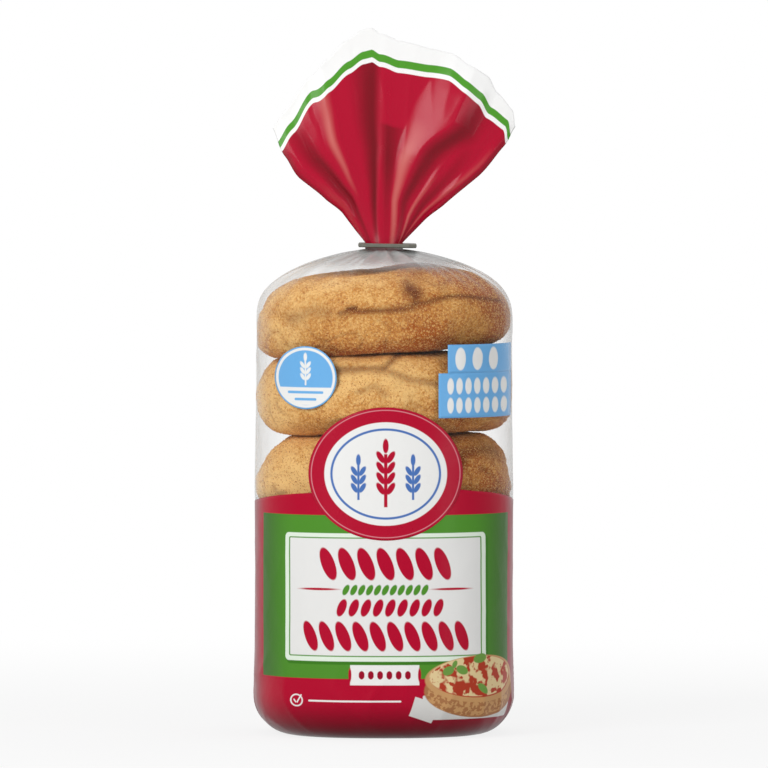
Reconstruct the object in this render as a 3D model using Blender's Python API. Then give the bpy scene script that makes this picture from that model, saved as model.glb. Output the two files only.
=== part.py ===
"""A tied film bag of six English muffins that stands on its end.

Blender 4.5 script: metres, +Z up, the front at -Y, the origin on the floor under the middle of the bag.
The bag is one closed solid out to its film: a foot pulled round the lowest muffin, a wall drawn in
a little between the muffins, a low shoulder, a gathered neck and a fan of pleated film above the tag.
The closure is a square plastic tag that grips the neck.
"""

import math

import bmesh
import bpy
from mathutils import Matrix, Vector

MM = 0.001

# The stack of muffins, thickness of each from the lowest to the top one.
MUFFIN_THICKNESSES = (24.2 * MM, 24.5 * MM, 25.0 * MM, 27.3 * MM, 27.4 * MM, 29.8 * MM)

# The body of the bag: a rounded square in plan, a little wider than it is deep.
BODY_HALF_WIDTH = 45.5 * MM
BODY_HALF_DEPTH = 45.0 * MM
BODY_SQUARENESS = 2.35
FOOT_FLAT_SHARE = 0.72
FOOT_HEIGHT = 13.5 * MM
WAIST_DEPTH = 0.6 * MM
WAIST_HEIGHT = 4.0 * MM

# The shoulder, a low dome that falls away from the neck and meets the wall.
SHOULDER_FOOT = 143.4 * MM
SHOULDER_HEIGHT = 26.6 * MM
SHOULDER_TOP_SHARE = 0.985
SHOULDER_ROUNDNESS = 3.0
SHOULDER_FULLNESS = 0.78
SHOULDER_PLEATS = 15
SHOULDER_PLEAT_DEPTH = 0.7 * MM

# The gathered neck, which the tag grips.
NECK_HALF_WIDTH = 6.6 * MM
NECK_HALF_DEPTH = 5.2 * MM
NECK_TOP = 171.5 * MM

# The fan above the tag. Directions are in degrees from upright, and the right side is positive.
FAN_LEFT = -39.0
FAN_RIGHT = 44.2
FAN_BULGE = 0.16
FAN_HALF_GAP = 2.2 * MM
# How far the cut edge of the film stands from the neck along each direction.
FAN_EDGE = (
    (FAN_LEFT, 51.3 * MM),
    (-30.3, 54.6 * MM),
    (-19.4, 61.8 * MM),
    (-8.5, 71.7 * MM),
    (-2.8, 75.4 * MM),
    (3.7, 70.7 * MM),
    (17.2, 69.1 * MM),
    (27.8, 65.9 * MM),
    (FAN_RIGHT, 56.4 * MM),
)
# The crest or valley of each pleat, and how far it stands forward of the fan's middle plane.
FAN_PLEATS = (
    (FAN_LEFT, 0.5 * MM),
    (-32.0, -3.0 * MM),
    (-22.0, 4.0 * MM),
    (-13.0, 0.0 * MM),
    (-7.0, 2.5 * MM),
    (-1.0, -4.0 * MM),
    (9.0, -0.5 * MM),
    (21.0, 4.5 * MM),
    (30.0, -1.5 * MM),
    (36.0, 1.5 * MM),
    (FAN_RIGHT, -1.0 * MM),
)

# The tag: a flat square with cut corners, a round eye and a narrow mouth at the back.
TAG_HALF_SIDE = 10.2 * MM
TAG_OFFSET = 1.2 * MM
TAG_CORNER = 2.6 * MM
TAG_THICKNESS = 1.4 * MM
TAG_CHAMFER = 0.35 * MM
TAG_EYE_RADIUS = 7.0 * MM
TAG_MOUTH = 3.6 * MM
TAG_HEIGHT = 170.6 * MM
TAG_TILT = math.radians(1.0)
TAG_EYE_STEPS = 28

# How finely the bag is divided.
TURN_STEPS = 80
FOOT_STEPS = 5
WALL_STEPS = 17
SHOULDER_STEPS = 9
FAN_STEPS = 12

BAG_RED = (0.48, 0.004, 0.028, 1.0)
TAG_GREY = (0.16, 0.18, 0.14, 1.0)


def clear_scene():
    """Removes what is already in the scene."""
    for obj in list(bpy.data.objects):
        bpy.data.objects.remove(obj, do_unlink=True)


def plastic(name, colour, roughness):
    """Makes a plain plastic material."""
    material = bpy.data.materials.new(name)
    material.use_nodes = True
    shader = material.node_tree.nodes["Principled BSDF"]
    shader.inputs["Base Color"].default_value = colour
    shader.inputs["Roughness"].default_value = roughness
    shader.inputs["Metallic"].default_value = 0.0
    return material


def smooth_between(points, at):
    """Reads a rounded line through (place, value) points, level at each of them."""
    if at <= points[0][0]:
        return points[0][1]
    for (start, low), (end, high) in zip(points, points[1:]):
        if at <= end:
            share = (at - start) / (end - start)
            return low + (high - low) * share * share * (3 - 2 * share)
    return points[-1][1]


def ring_point(turn, half_width, half_depth, squareness):
    """A point on a rounded square: turn 0 is the front, and a quarter turn is the right side."""
    across, forward = math.sin(turn), math.cos(turn)
    grow = (abs(across) ** squareness + abs(forward) ** squareness) ** (-1 / squareness)
    return half_width * across * grow, -half_depth * forward * grow


def muffin_joints():
    """The heights at which one muffin rests on the next."""
    heights = []
    top = 0.0
    for thickness in MUFFIN_THICKNESSES[:-1]:
        top += thickness
        heights.append(top)
    return heights


def wall_share(height):
    """How much of its full half width the foot or wall of the bag has at a height."""
    share = 1.0
    if height < FOOT_HEIGHT:
        rise = 1 - height / FOOT_HEIGHT
        share = FOOT_FLAT_SHARE + (1 - FOOT_FLAT_SHARE) * math.sqrt(1 - rise * rise)
    top_taper = (1 - SHOULDER_TOP_SHARE) * (height / SHOULDER_FOOT) ** 4
    waist = sum(math.exp(-(((height - joint) / WAIST_HEIGHT) ** 2)) for joint in muffin_joints())
    return share - top_taper - waist * WAIST_DEPTH / BODY_HALF_WIDTH


def wall_ring(height):
    """The ring of the foot or wall at a height."""
    share = wall_share(height)
    ring = []
    for step in range(TURN_STEPS):
        turn = math.tau * step / TURN_STEPS
        x, y = ring_point(turn, BODY_HALF_WIDTH * share, BODY_HALF_DEPTH * share, BODY_SQUARENESS)
        ring.append(Vector((x, y, height)))
    return ring


def shoulder_ring(rise):
    """The ring of the shoulder at a share of its height, from the wall (0) to the neck (1)."""
    fall = (1 - rise ** SHOULDER_ROUNDNESS) ** SHOULDER_FULLNESS
    half_width = max(BODY_HALF_WIDTH * wall_share(SHOULDER_FOOT) * fall, NECK_HALF_WIDTH)
    half_depth = max(BODY_HALF_DEPTH * wall_share(SHOULDER_FOOT) * fall, NECK_HALF_DEPTH)
    squareness = BODY_SQUARENESS + (2.0 - BODY_SQUARENESS) * rise
    pleat_depth = SHOULDER_PLEAT_DEPTH * math.sin(math.pi * rise ** 1.5)
    ring = []
    for step in range(TURN_STEPS):
        turn = math.tau * step / TURN_STEPS
        x, y = ring_point(turn, half_width, half_depth, squareness)
        drop = pleat_depth * math.cos(SHOULDER_PLEATS * turn)
        ring.append(Vector((x, y, SHOULDER_FOOT + SHOULDER_HEIGHT * rise + drop)))
    return ring


def neck_ring(height):
    """The round ring of the neck at a height."""
    ring = []
    for step in range(TURN_STEPS):
        turn = math.tau * step / TURN_STEPS
        x, y = ring_point(turn, NECK_HALF_WIDTH, NECK_HALF_DEPTH, 2.0)
        ring.append(Vector((x, y, height)))
    return ring


def fan_ring(rise):
    """The ring of the fan at a share of the way from the neck (0) to the film's cut edge (1).

    The front and back layers follow the same pleats, with a narrow gap between them.
    """
    gathering = min(1.0, 2.5 * rise)
    bulge = FAN_BULGE * math.sin(math.pi * rise * rise)
    ring = []
    for step in range(TURN_STEPS):
        turn = math.tau * step / TURN_STEPS
        across = math.asin(max(-1.0, min(1.0, math.sin(turn)))) / (math.pi / 2)
        direction = across * (FAN_RIGHT if across > 0 else -FAN_LEFT)
        reach = rise * smooth_between(FAN_EDGE, direction)
        lean = math.radians(direction)
        spread = reach * math.sin(lean) * (1 + bulge / max(rise, 0.01))
        forward = gathering * smooth_between(FAN_PLEATS, direction)
        half_gap = NECK_HALF_DEPTH + (FAN_HALF_GAP - NECK_HALF_DEPTH) * gathering
        x = NECK_HALF_WIDTH * math.sin(turn) + spread
        y = -half_gap * math.cos(turn) - forward
        ring.append(Vector((x, y, NECK_TOP + reach * math.cos(lean))))
    return ring


def bag_rings():
    """Every ring of the bag, from the floor to the cut edge of the fan."""
    rings = []
    for step in range(FOOT_STEPS):
        rings.append(wall_ring(FOOT_HEIGHT * (step / FOOT_STEPS) ** 2))
    for step in range(WALL_STEPS):
        rings.append(wall_ring(FOOT_HEIGHT + (SHOULDER_FOOT - FOOT_HEIGHT) * step / WALL_STEPS))
    neck_fall = (NECK_HALF_WIDTH / BODY_HALF_WIDTH) ** (1 / SHOULDER_FULLNESS)
    neck_share = (1 - neck_fall) ** (1 / SHOULDER_ROUNDNESS)
    for step in range(SHOULDER_STEPS + 1):
        rings.append(shoulder_ring(neck_share * math.sin(math.pi / 2 * step / SHOULDER_STEPS)))
    rings.append(neck_ring(TAG_HEIGHT))
    for step in range(FAN_STEPS + 1):
        rings.append(fan_ring(step / FAN_STEPS))
    return rings


def make_bag(collection):
    """Joins the rings into one closed solid."""
    bm = bmesh.new()
    loops = [[bm.verts.new(point) for point in ring] for ring in bag_rings()]
    for low, high in zip(loops, loops[1:]):
        for step in range(TURN_STEPS):
            after = (step + 1) % TURN_STEPS
            bm.faces.new((low[step], low[after], high[after], high[step]))
    bm.faces.new(list(reversed(loops[0])))
    # The mouth of the fan is closed between its front and back edges, which mirror each other.
    edge = loops[-1]
    half = TURN_STEPS // 2
    quarter = TURN_STEPS // 4
    for step in range(-quarter, quarter):
        front = (edge[step], edge[step + 1])
        back = (edge[(half - step - 1) % TURN_STEPS], edge[(half - step) % TURN_STEPS])
        corners = list(dict.fromkeys((*front, *back)))
        bm.faces.new(corners)
    bmesh.ops.triangulate(bm, faces=bm.faces[:])
    mesh = bpy.data.meshes.new("bag")
    bm.to_mesh(mesh)
    bm.free()
    mesh.shade_smooth()
    mesh.materials.append(plastic("printed_film", BAG_RED, 0.25))
    bag = bpy.data.objects.new("bag", mesh)
    collection.objects.link(bag)
    return bag


def tag_outline():
    """The tag's outline from one side of its mouth, round the square and back through the eye."""
    side, corner, half_mouth = TAG_HALF_SIDE, TAG_CORNER, TAG_MOUTH / 2
    outline = [(half_mouth, side)]
    for turn in range(4):
        swing = Matrix.Rotation(-math.pi / 2 * turn, 2)
        for x, y in ((side - corner, side), (side, side - corner)):
            point = swing @ Vector((x, y))
            outline.append((point.x + TAG_OFFSET, point.y))
    outline.append((-half_mouth, side))
    opening = math.asin(half_mouth / TAG_EYE_RADIUS)
    sweep = math.tau - 2 * opening
    for step in range(TAG_EYE_STEPS + 1):
        turn = math.pi / 2 + opening + sweep * step / TAG_EYE_STEPS
        outline.append((TAG_EYE_RADIUS * math.cos(turn), TAG_EYE_RADIUS * math.sin(turn)))
    return outline


def make_tag(collection):
    """Cuts the tag from its outline, a filled flat curve with its edges chamfered inwards."""
    outline = tag_outline()
    curve = bpy.data.curves.new("closure_tag", "CURVE")
    curve.dimensions = "2D"
    curve.fill_mode = "BOTH"
    curve.extrude = TAG_THICKNESS / 2 - TAG_CHAMFER
    curve.bevel_depth = TAG_CHAMFER
    curve.bevel_resolution = 0
    curve.offset = -TAG_CHAMFER
    spline = curve.splines.new("POLY")
    spline.points.add(len(outline) - 1)
    for point, (x, y) in zip(spline.points, outline):
        point.co = (x, y, 0.0, 1.0)
    spline.use_cyclic_u = True
    curve.materials.append(plastic("tag_plastic", TAG_GREY, 0.4))
    tag = bpy.data.objects.new("closure_tag", curve)
    tag.location = (0.0, 0.0, TAG_HEIGHT)
    tag.rotation_euler = (0.0, TAG_TILT, 0.0)
    collection.objects.link(tag)
    return tag


def main():
    """Builds the bag and its closure."""
    clear_scene()
    collection = bpy.data.collections.new("bagged_english_muffins")
    bpy.context.scene.collection.children.link(collection)
    make_bag(collection)
    make_tag(collection)


main()
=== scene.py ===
"""Looks of a tied film bag of English muffins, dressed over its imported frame.

Everything is in metres, +Z up, with the printed front towards -Y. The bag's solid is replaced by
what the real pack is made of: a clear film window, a printed film wrap, a printed fan above the tag,
labels printed on the window, six muffins and the semolina they were baked in.
"""

import logging
import math
from dataclasses import dataclass, field
from enum import Enum
from typing import Any, Callable, Mapping, Optional, Sequence

import bmesh
import bpy
from mathutils import Matrix, Vector, noise


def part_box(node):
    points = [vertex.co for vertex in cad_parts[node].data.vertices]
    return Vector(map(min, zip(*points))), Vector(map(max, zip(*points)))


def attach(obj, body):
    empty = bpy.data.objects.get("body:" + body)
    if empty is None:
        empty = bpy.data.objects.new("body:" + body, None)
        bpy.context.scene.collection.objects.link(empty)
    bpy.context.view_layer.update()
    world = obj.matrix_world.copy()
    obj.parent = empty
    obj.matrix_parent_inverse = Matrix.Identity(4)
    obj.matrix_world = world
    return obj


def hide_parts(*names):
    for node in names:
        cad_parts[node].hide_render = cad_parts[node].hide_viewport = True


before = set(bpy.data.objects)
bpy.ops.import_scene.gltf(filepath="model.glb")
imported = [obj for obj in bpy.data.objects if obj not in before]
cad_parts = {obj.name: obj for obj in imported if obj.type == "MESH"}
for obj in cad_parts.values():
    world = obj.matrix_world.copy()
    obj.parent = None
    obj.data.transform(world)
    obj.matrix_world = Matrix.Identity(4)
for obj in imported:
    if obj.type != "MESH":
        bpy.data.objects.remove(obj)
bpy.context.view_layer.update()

BAG_LOW, BAG_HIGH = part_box("bag")
TAG_LOW, TAG_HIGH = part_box("closure_tag")
BODY = "root"
MM = 0.001
LOG = logging.getLogger("muffin_bag")

Colour = tuple[float, float, float, float]
Spot = tuple[float, float]
Line = tuple[Spot, ...]
Socket = bpy.types.NodeSocket
EDGE_MM = 0.12
FAR_MM = 500.0
BACK_HALF_WIDTH = 27.0


class Ink(Enum):
    """The inks and finishes' colours, as sRGB hex values."""

    RED = "#B4002C"
    DEEP_RED = "#9C0528"
    # Painted shade: deeper reds for the wrap's foot and its sides.
    FOOT_SHADE_RED = "#3C000C"
    SIDE_SHADE_RED = "#80001C"
    # Painted shade in the fan's folds.
    FOLD_SHADE_RED = "#70000F"
    # Painted highlight along the fan's folds.
    HIGHLIGHT_PINK = "#D4746C"
    GREEN = "#4F8F2B"
    STRIPE_GREEN = "#4F9A2B"
    # Painted shade: a darker green towards the wrap's sides.
    SIDE_SHADE_GREEN = "#37681C"
    WHITE = "#F0F0EE"
    MARGIN = "#FAFAF9"
    PANEL = "#EAEAE8"
    BORDER = "#E6F3E3"
    SKY = "#6FB2E8"
    BLUE = "#4A73B8"
    # Painted highlight: a thin pink ring round the roundel's rim.
    RIM_HIGHLIGHT = "#D98A94"
    SHADE = "#3B7A1D"
    PAPER = "#D9D9D6"
    CRUMB = "#A9744A"
    CRUMB_RIM = "#C99A66"
    SAUCE = "#B23A22"
    CHEESE = "#E6CF9C"
    LEAF = "#6E9A45"
    MILK = "#CBCECD"
    CRUST_LIGHT = "#FBCB82"
    CRUST_MIDDLE = "#D9994C"
    CRUST_TOASTED = "#AC5A1C"
    # Painted shade in the crust's folds.
    CRUST_FOLD_SHADE = "#743A12"
    CRUST_GRIT = "#FACD80"
    GRAIN_PALE = "#F0BE74"
    GRAIN_GOLD = "#C27C36"
    TAG_GREY = "#77766B"
    TAG_WORN = "#4F5347"


class Slot(Enum):
    """The record's material slots."""

    PRINT = "printed_film"
    CLEAR = "clear_film"
    TAG = "tag_plastic"
    CRUST = "muffin_crust"
    GRAIN = "semolina"


class Outline(Enum):
    """The outlines a printed shape can have."""

    BOX = "box"
    OVAL = "oval"


def linear(ink: str) -> Colour:
    """Turns an sRGB hex value into the linear colour a shader wants.

    Args:
        ink: the colour as #RRGGBB.

    Returns:
        Linear red, green, blue and a full alpha.
    """
    parts = [int(ink[start:start + 2], 16) / 255 for start in (1, 3, 5)]
    bright = [part / 12.92 if part <= 0.04045 else ((part + 0.055) / 1.055) ** 2.4 for part in parts]
    return bright[0], bright[1], bright[2], 1.0


class Nodes:
    """A node tree being built, with short ways to add what it needs most."""

    def __init__(self, tree: bpy.types.NodeTree) -> None:
        """Starts on a tree."""
        self.tree = tree

    def add(self, kind: str, settings: Optional[Mapping[str, Any]] = None,
            inputs: Optional[Mapping[Any, Any]] = None) -> bpy.types.Node:
        """Adds one node, sets it up and links it.

        Args:
            kind: the node's type.
            settings: attribute values by name.
            inputs: a value, an ink or another node's output for each input, by name or index.

        Returns:
            The new node.
        """
        node = self.tree.nodes.new(kind)
        for name, value in (settings or {}).items():
            setattr(node, name, value)
        for key, value in (inputs or {}).items():
            if isinstance(value, Socket):
                self.tree.links.new(value, node.inputs[key])
            else:
                node.inputs[key].default_value = linear(value.value) if isinstance(value, Ink) else value
        return node

    def math(self, operation: str, *values: Any, **settings: Any) -> Socket:
        """Adds a sum of numbers and gives its result."""
        return self.add("ShaderNodeMath", {"operation": operation, **settings},
                        dict(enumerate(values))).outputs[0]

    def vector(self, operation: str, *values: Any) -> Socket:
        """Adds a sum of vectors and gives its result, which for a length is a number."""
        node = self.add("ShaderNodeVectorMath", {"operation": operation}, dict(enumerate(values)))
        return node.outputs[1 if operation == "LENGTH" else 0]

    def split(self, vector: Socket) -> Sequence[Socket]:
        """Gives a vector's x, y and z."""
        return self.add("ShaderNodeSeparateXYZ", inputs={0: vector}).outputs

    def mix(self, mask: Any, under: Any, over: Any) -> Socket:
        """Mixes two colours by a mask."""
        return self.add("ShaderNodeMix", {"data_type": "RGBA", "clamp_factor": True},
                        {0: mask, 6: under, 7: over}).outputs[2]

    def blend(self, mask: Socket, under: Socket, over: Socket) -> Socket:
        """Mixes two shaders by a mask."""
        return self.add("ShaderNodeMixShader", {}, {0: mask, 1: under, 2: over}).outputs[0]

    def remap(self, value: Socket, start: float, end: float, low: float = 0.0, high: float = 1.0,
              smooth: bool = False) -> Socket:
        """Maps a value's range onto another, and holds it there.

        Args:
            value: the value.
            start: where its range starts.
            end: where its range ends.
            low: the result at the start.
            high: the result at the end.
            smooth: whether it eases in and out.

        Returns:
            The mapped value.
        """
        kind = {"interpolation_type": "SMOOTHSTEP" if smooth else "LINEAR"}
        return self.add("ShaderNodeMapRange", kind, {"Value": value, "From Min": start, "From Max": end,
                                                     "To Min": low, "To Max": high}).outputs[0]

    def cloud(self, place: Socket, size: float, detail: float, roughness: float = 0.5) -> Socket:
        """Adds noise with lumps of a size."""
        return self.add("ShaderNodeTexNoise", {}, {"Vector": place, "Scale": 1 / size, "Detail": detail,
                                                   "Roughness": roughness}).outputs[0]

    def seen(self) -> Socket:
        """Gives 1 where a ray comes from the camera, a mirror or a clear film."""
        path = self.add("ShaderNodeLightPath").outputs
        seen = path["Is Camera Ray"]
        for name in ("Is Glossy Ray", "Is Transmission Ray"):
            seen = self.math("MAXIMUM", seen, path[name])
        return seen


class Finish(Nodes):
    """A material being built."""

    def __init__(self, name: str) -> None:
        """Starts an empty material, named after the real one."""
        self.material = bpy.data.materials.new(name)
        self.material.use_nodes = True
        super().__init__(self.material.node_tree)
        self.tree.nodes.clear()

    def place(self) -> Socket:
        """Gives the place in the part's own space, in metres."""
        return self.add("ShaderNodeTexCoord").outputs["Object"]

    def printed(self) -> Socket:
        """Gives the place on the printed film, in millimetres."""
        return self.add("ShaderNodeUVMap", {"uv_map": "print"}).outputs[0]

    def bump(self, height: Socket, relief_mm: float, strength: float = 1.0) -> Socket:
        """Gives the normal of a fine relief."""
        return self.add("ShaderNodeBump", {}, {"Strength": strength, "Distance": relief_mm * MM,
                                               "Height": height}).outputs[0]

    def solid(self, colour: Any, roughness: Any, ior: float, **more: Any) -> Socket:
        """Gives a plain surface.

        Args:
            colour: its colour.
            roughness: its roughness.
            ior: its refractive index.
            more: further inputs, with underscores for spaces.

        Returns:
            The shader.
        """
        inputs = {"Base Color": colour, "Roughness": roughness, "IOR": ior}
        inputs.update({name.replace("_", " "): value for name, value in more.items()})
        return self.add("ShaderNodeBsdfPrincipled", {}, inputs).outputs[0]

    def done(self, surface: Socket) -> bpy.types.Material:
        """Ends the material with its surface."""
        self.add("ShaderNodeOutputMaterial", {}, {"Surface": surface})
        return self.material



def ease(share: float) -> float:
    """Eases a share between 0 and 1, level at both ends."""
    held = min(1.0, max(0.0, share))
    return held * held * (3 - 2 * held)


def read_line(points: Sequence[Spot], at: float, roundness: float = 1.0) -> float:
    """Reads a line through (place, value) points.

    Args:
        points: the points, in order of place.
        at: where it is read.
        roundness: 1 for a line level at each point, 0 for straight runs.

    Returns:
        The value there.
    """
    if at <= points[0][0]:
        return points[0][1]
    for (start, low), (end, high) in zip(points, points[1:]):
        if at <= end:
            share = (at - start) / (end - start)
            blend = share + (ease(share) - share) * roundness
            return low + (high - low) * blend
    return points[-1][1]


def line(*values: float) -> Line:
    """Pairs up the places and values of a line."""
    return tuple(zip(values[::2], values[1::2]))


def hump(distance: float, width: float) -> float:
    """A bell that is 1 at no distance and fades over a width."""
    return math.exp(-(distance / width) ** 2)


def finished(bm: bmesh.types.BMesh, name: str) -> bpy.types.Mesh:
    """Turns what has been built into a mesh."""
    mesh = bpy.data.meshes.new(name)
    bm.to_mesh(mesh)
    bm.free()
    return mesh


def link_piece(name: str, mesh: bpy.types.Mesh, material: bpy.types.Material, slot: Slot,
               replaced: bool = True) -> bpy.types.Object:
    """Puts a finished mesh in the scene as a piece of the bag.

    Args:
        name: the piece's name.
        mesh: its mesh, in its place.
        material: its finish.
        slot: the record's slot that the finish stands for; not used.
        replaced: whether the piece stands in for the bag's solid.

    Returns:
        The new object.
    """
    mesh.name = name
    mesh.materials.clear()
    mesh.materials.append(material)
    mesh.shade_smooth()
    piece = bpy.data.objects.new(name, mesh)
    bpy.context.scene.collection.objects.link(piece)
    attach(piece, BODY)
    if replaced:
        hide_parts("bag")
    return piece


def report(piece: bpy.types.Object) -> None:
    """Logs a finished piece and its size."""
    LOG.info("%s: %d points, %d faces", piece.name, len(piece.data.vertices), len(piece.data.polygons))


def thicken(piece: bpy.types.Object, thickness: float) -> None:
    """Gives a film its thickness with a live Solidify, inwards from its outer face.

    Args:
        piece: the film.
        thickness: how thick it is.
    """
    wall = piece.modifiers.new("film_wall", "SOLIDIFY")
    wall.thickness = thickness
    wall.offset = -1.0


@dataclass(frozen=True)
class BagForm:
    """The outer surface of the filled film, from its foot to its gathered neck."""

    half_width: float = 45.5 * MM
    half_depth: float = 45.0 * MM
    squareness: float = 2.35
    foot_flat: float = 0.72
    foot_height: float = 13.5 * MM
    shoulder_foot: float = 143.4 * MM
    shoulder_height: float = 26.6 * MM
    shoulder_top_share: float = 0.985
    shoulder_roundness: float = 3.0
    shoulder_fullness: float = 0.78
    neck_half_width: float = 6.6 * MM
    neck_half_depth: float = 5.2 * MM
    girth_steps: int = 720

    def ring(self, turn: float, half_width: float, half_depth: float, squareness: float) -> Spot:
        """A point on a rounded square.

        Args:
            turn: 0 at the front, a quarter turn at the right side.
            half_width: its half width.
            half_depth: its half depth.
            squareness: 2 for an ellipse, more for squarer corners.

        Returns:
            The point's x and y.
        """
        across, forward = math.sin(turn), math.cos(turn)
        grow = (abs(across) ** squareness + abs(forward) ** squareness) ** (-1 / squareness)
        return half_width * across * grow, -half_depth * forward * grow

    def share(self, height: float) -> float:
        """How much of its full width the foot or wall has at a height."""
        share = 1.0
        if height < self.foot_height:
            rise = 1 - max(0.0, height) / self.foot_height
            share = self.foot_flat + (1 - self.foot_flat) * math.sqrt(1 - rise * rise)
        return share - (1 - self.shoulder_top_share) * (height / self.shoulder_foot) ** 4

    def crinkle(self, turn: float, height: float) -> float:
        """How far the film stands out of its smooth form, for its soft dents and small wrinkles.

        Args:
            turn: where round the bag.
            height: the height above the floor.

        Returns:
            The offset along the way out.
        """
        across, forward = 45 * math.sin(turn), 45 * math.cos(turn)
        up = height / MM
        slack = noise.noise(Vector((across / 26, forward / 26, up / 34)))
        lean = 0.55 * across + up
        crease = 1 - abs(noise.noise(Vector((across / 15, lean / 21, forward / 15))))
        near_foot = hump(up - 10, 13) + 0.18
        near_top = hump(up - 150, 16)
        folds = crease ** 7 * (0.9 * near_foot + 0.8 * near_top)
        return (0.30 * slack + 0.55 * folds - 0.35) * MM

    def wall(self, turn: float, height: float, lift: float = 0.0) -> Vector:
        """A point on the foot or the wall of the film.

        Args:
            turn: where round the bag.
            height: the height above the floor.
            lift: how far it stands off the film.

        Returns:
            The point.
        """
        share = self.share(height)
        grow = (self.crinkle(turn, height) * ease(height / (6 * MM)) + lift) / self.half_width
        share = share + grow
        x, y = self.ring(turn, self.half_width * share, self.half_depth * share, self.squareness)
        return Vector((x, y, height))

    def shoulder(self, turn: float, rise: float) -> Vector:
        """A point on the shoulder.

        Args:
            turn: where round the bag.
            rise: the share of its height, 0 at the wall and 1 over the neck.

        Returns:
            The point.
        """
        fall = (1 - rise ** self.shoulder_roundness) ** self.shoulder_fullness
        height = self.shoulder_foot + self.shoulder_height * rise
        share = self.share(self.shoulder_foot) * fall
        squareness = self.squareness + (2.0 - self.squareness) * rise
        half_width = max(self.half_width * share, self.neck_half_width)
        half_depth = max(self.half_depth * share, self.neck_half_depth)
        gather = ease(rise * 1.4) * (1 - ease((rise - 0.9) * 10))
        swing = 3.1 * noise.noise(Vector((math.sin(turn) * 1.3, math.cos(turn) * 1.3, 4.0)))
        pleat = math.sin(13 * turn + swing) + 0.55 * math.sin(29 * turn - 2.3 * swing)
        ridge = (0.5 + 0.5 * math.sin(13 * turn + swing)) ** 3
        drop = gather * (0.2 * pleat + 0.4 * ridge - 0.3) * MM
        blend = 1 - ease(rise * 2.5)
        grow = self.crinkle(turn, self.shoulder_foot) * blend
        x, y = self.ring(turn, half_width + grow, half_depth + grow, squareness)
        return Vector((x, y, height + drop))

    def neck_share(self) -> float:
        """The share of the shoulder's height at which it has come in to the neck."""
        fall = (self.neck_half_width / self.half_width) ** (1 / self.shoulder_fullness)
        return (1 - fall) ** (1 / self.shoulder_roundness)

    def neck(self, turn: float, height: float) -> Vector:
        """A point on the gathered neck at a height."""
        x, y = self.ring(turn, self.neck_half_width, self.neck_half_depth, 2.0)
        return Vector((x, y, height))

    def girth(self) -> list[float]:
        """The way round the film from its front, for each of a full turn's steps."""
        ways = [0.0]
        last = Vector(self.ring(0.0, self.half_width, self.half_depth, self.squareness))
        for step in range(1, self.girth_steps + 1):
            turn = math.tau * step / self.girth_steps
            here = Vector(self.ring(turn, self.half_width, self.half_depth, self.squareness))
            ways.append(ways[-1] + (here - last).length)
            last = here
        return ways

    def turn_at(self, x: float, height: float) -> float:
        """The turn at which the front of the film stands over a place across.

        Args:
            x: the place across.
            height: the height above the floor.

        Returns:
            The turn, which is negative on the left.
        """
        width = self.half_width * self.share(height)
        across = max(-0.9999, min(0.9999, x / width))
        forward = (1 - abs(across) ** self.squareness) ** (1 / self.squareness)
        return math.atan2(across, forward)


FORM = BagForm()
GIRTH = FORM.girth()


def along(turn: float) -> float:
    """The way round the film from its front to a turn, in millimetres, negative on the left."""
    steps = abs(turn) / math.tau * FORM.girth_steps
    low = min(int(steps), FORM.girth_steps - 1)
    way = GIRTH[low] + (GIRTH[low + 1] - GIRTH[low]) * (steps - low)
    return math.copysign(way / MM, turn)


def film_x(x: float) -> float:
    """The way round the film, in millimetres, to what a front view shows x millimetres across."""
    return along(FORM.turn_at(x * MM, 60 * MM))


@dataclass(frozen=True)
class Mark:
    """One printed shape, placed in millimetres as a front view shows it.

    A repeat of more than one puts that many copies side by side between its left and right edges,
    and grain breaks the shape into blots of that size.
    """

    outline: Outline
    ink: Ink
    left: float
    right: float
    bottom: float
    top: float
    corner: float = 0.0
    turn: float = 0.0
    repeat: int = 1
    fill: float = 0.8
    grain: float = 0.0
    amount: float = 0.5


def bar(ink: Ink, left: float, right: float, bottom: float, top: float, **more: Any) -> Mark:
    """A printed box between its edges."""
    return Mark(Outline.BOX, ink, left, right, bottom, top, **more)


def oval(ink: Ink, x: float, z: float, half_width: float, half_height: float, **more: Any) -> Mark:
    """A printed oval round its middle."""
    return Mark(Outline.OVAL, ink, x - half_width, x + half_width, z - half_height,
                z + half_height, **more)


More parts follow.
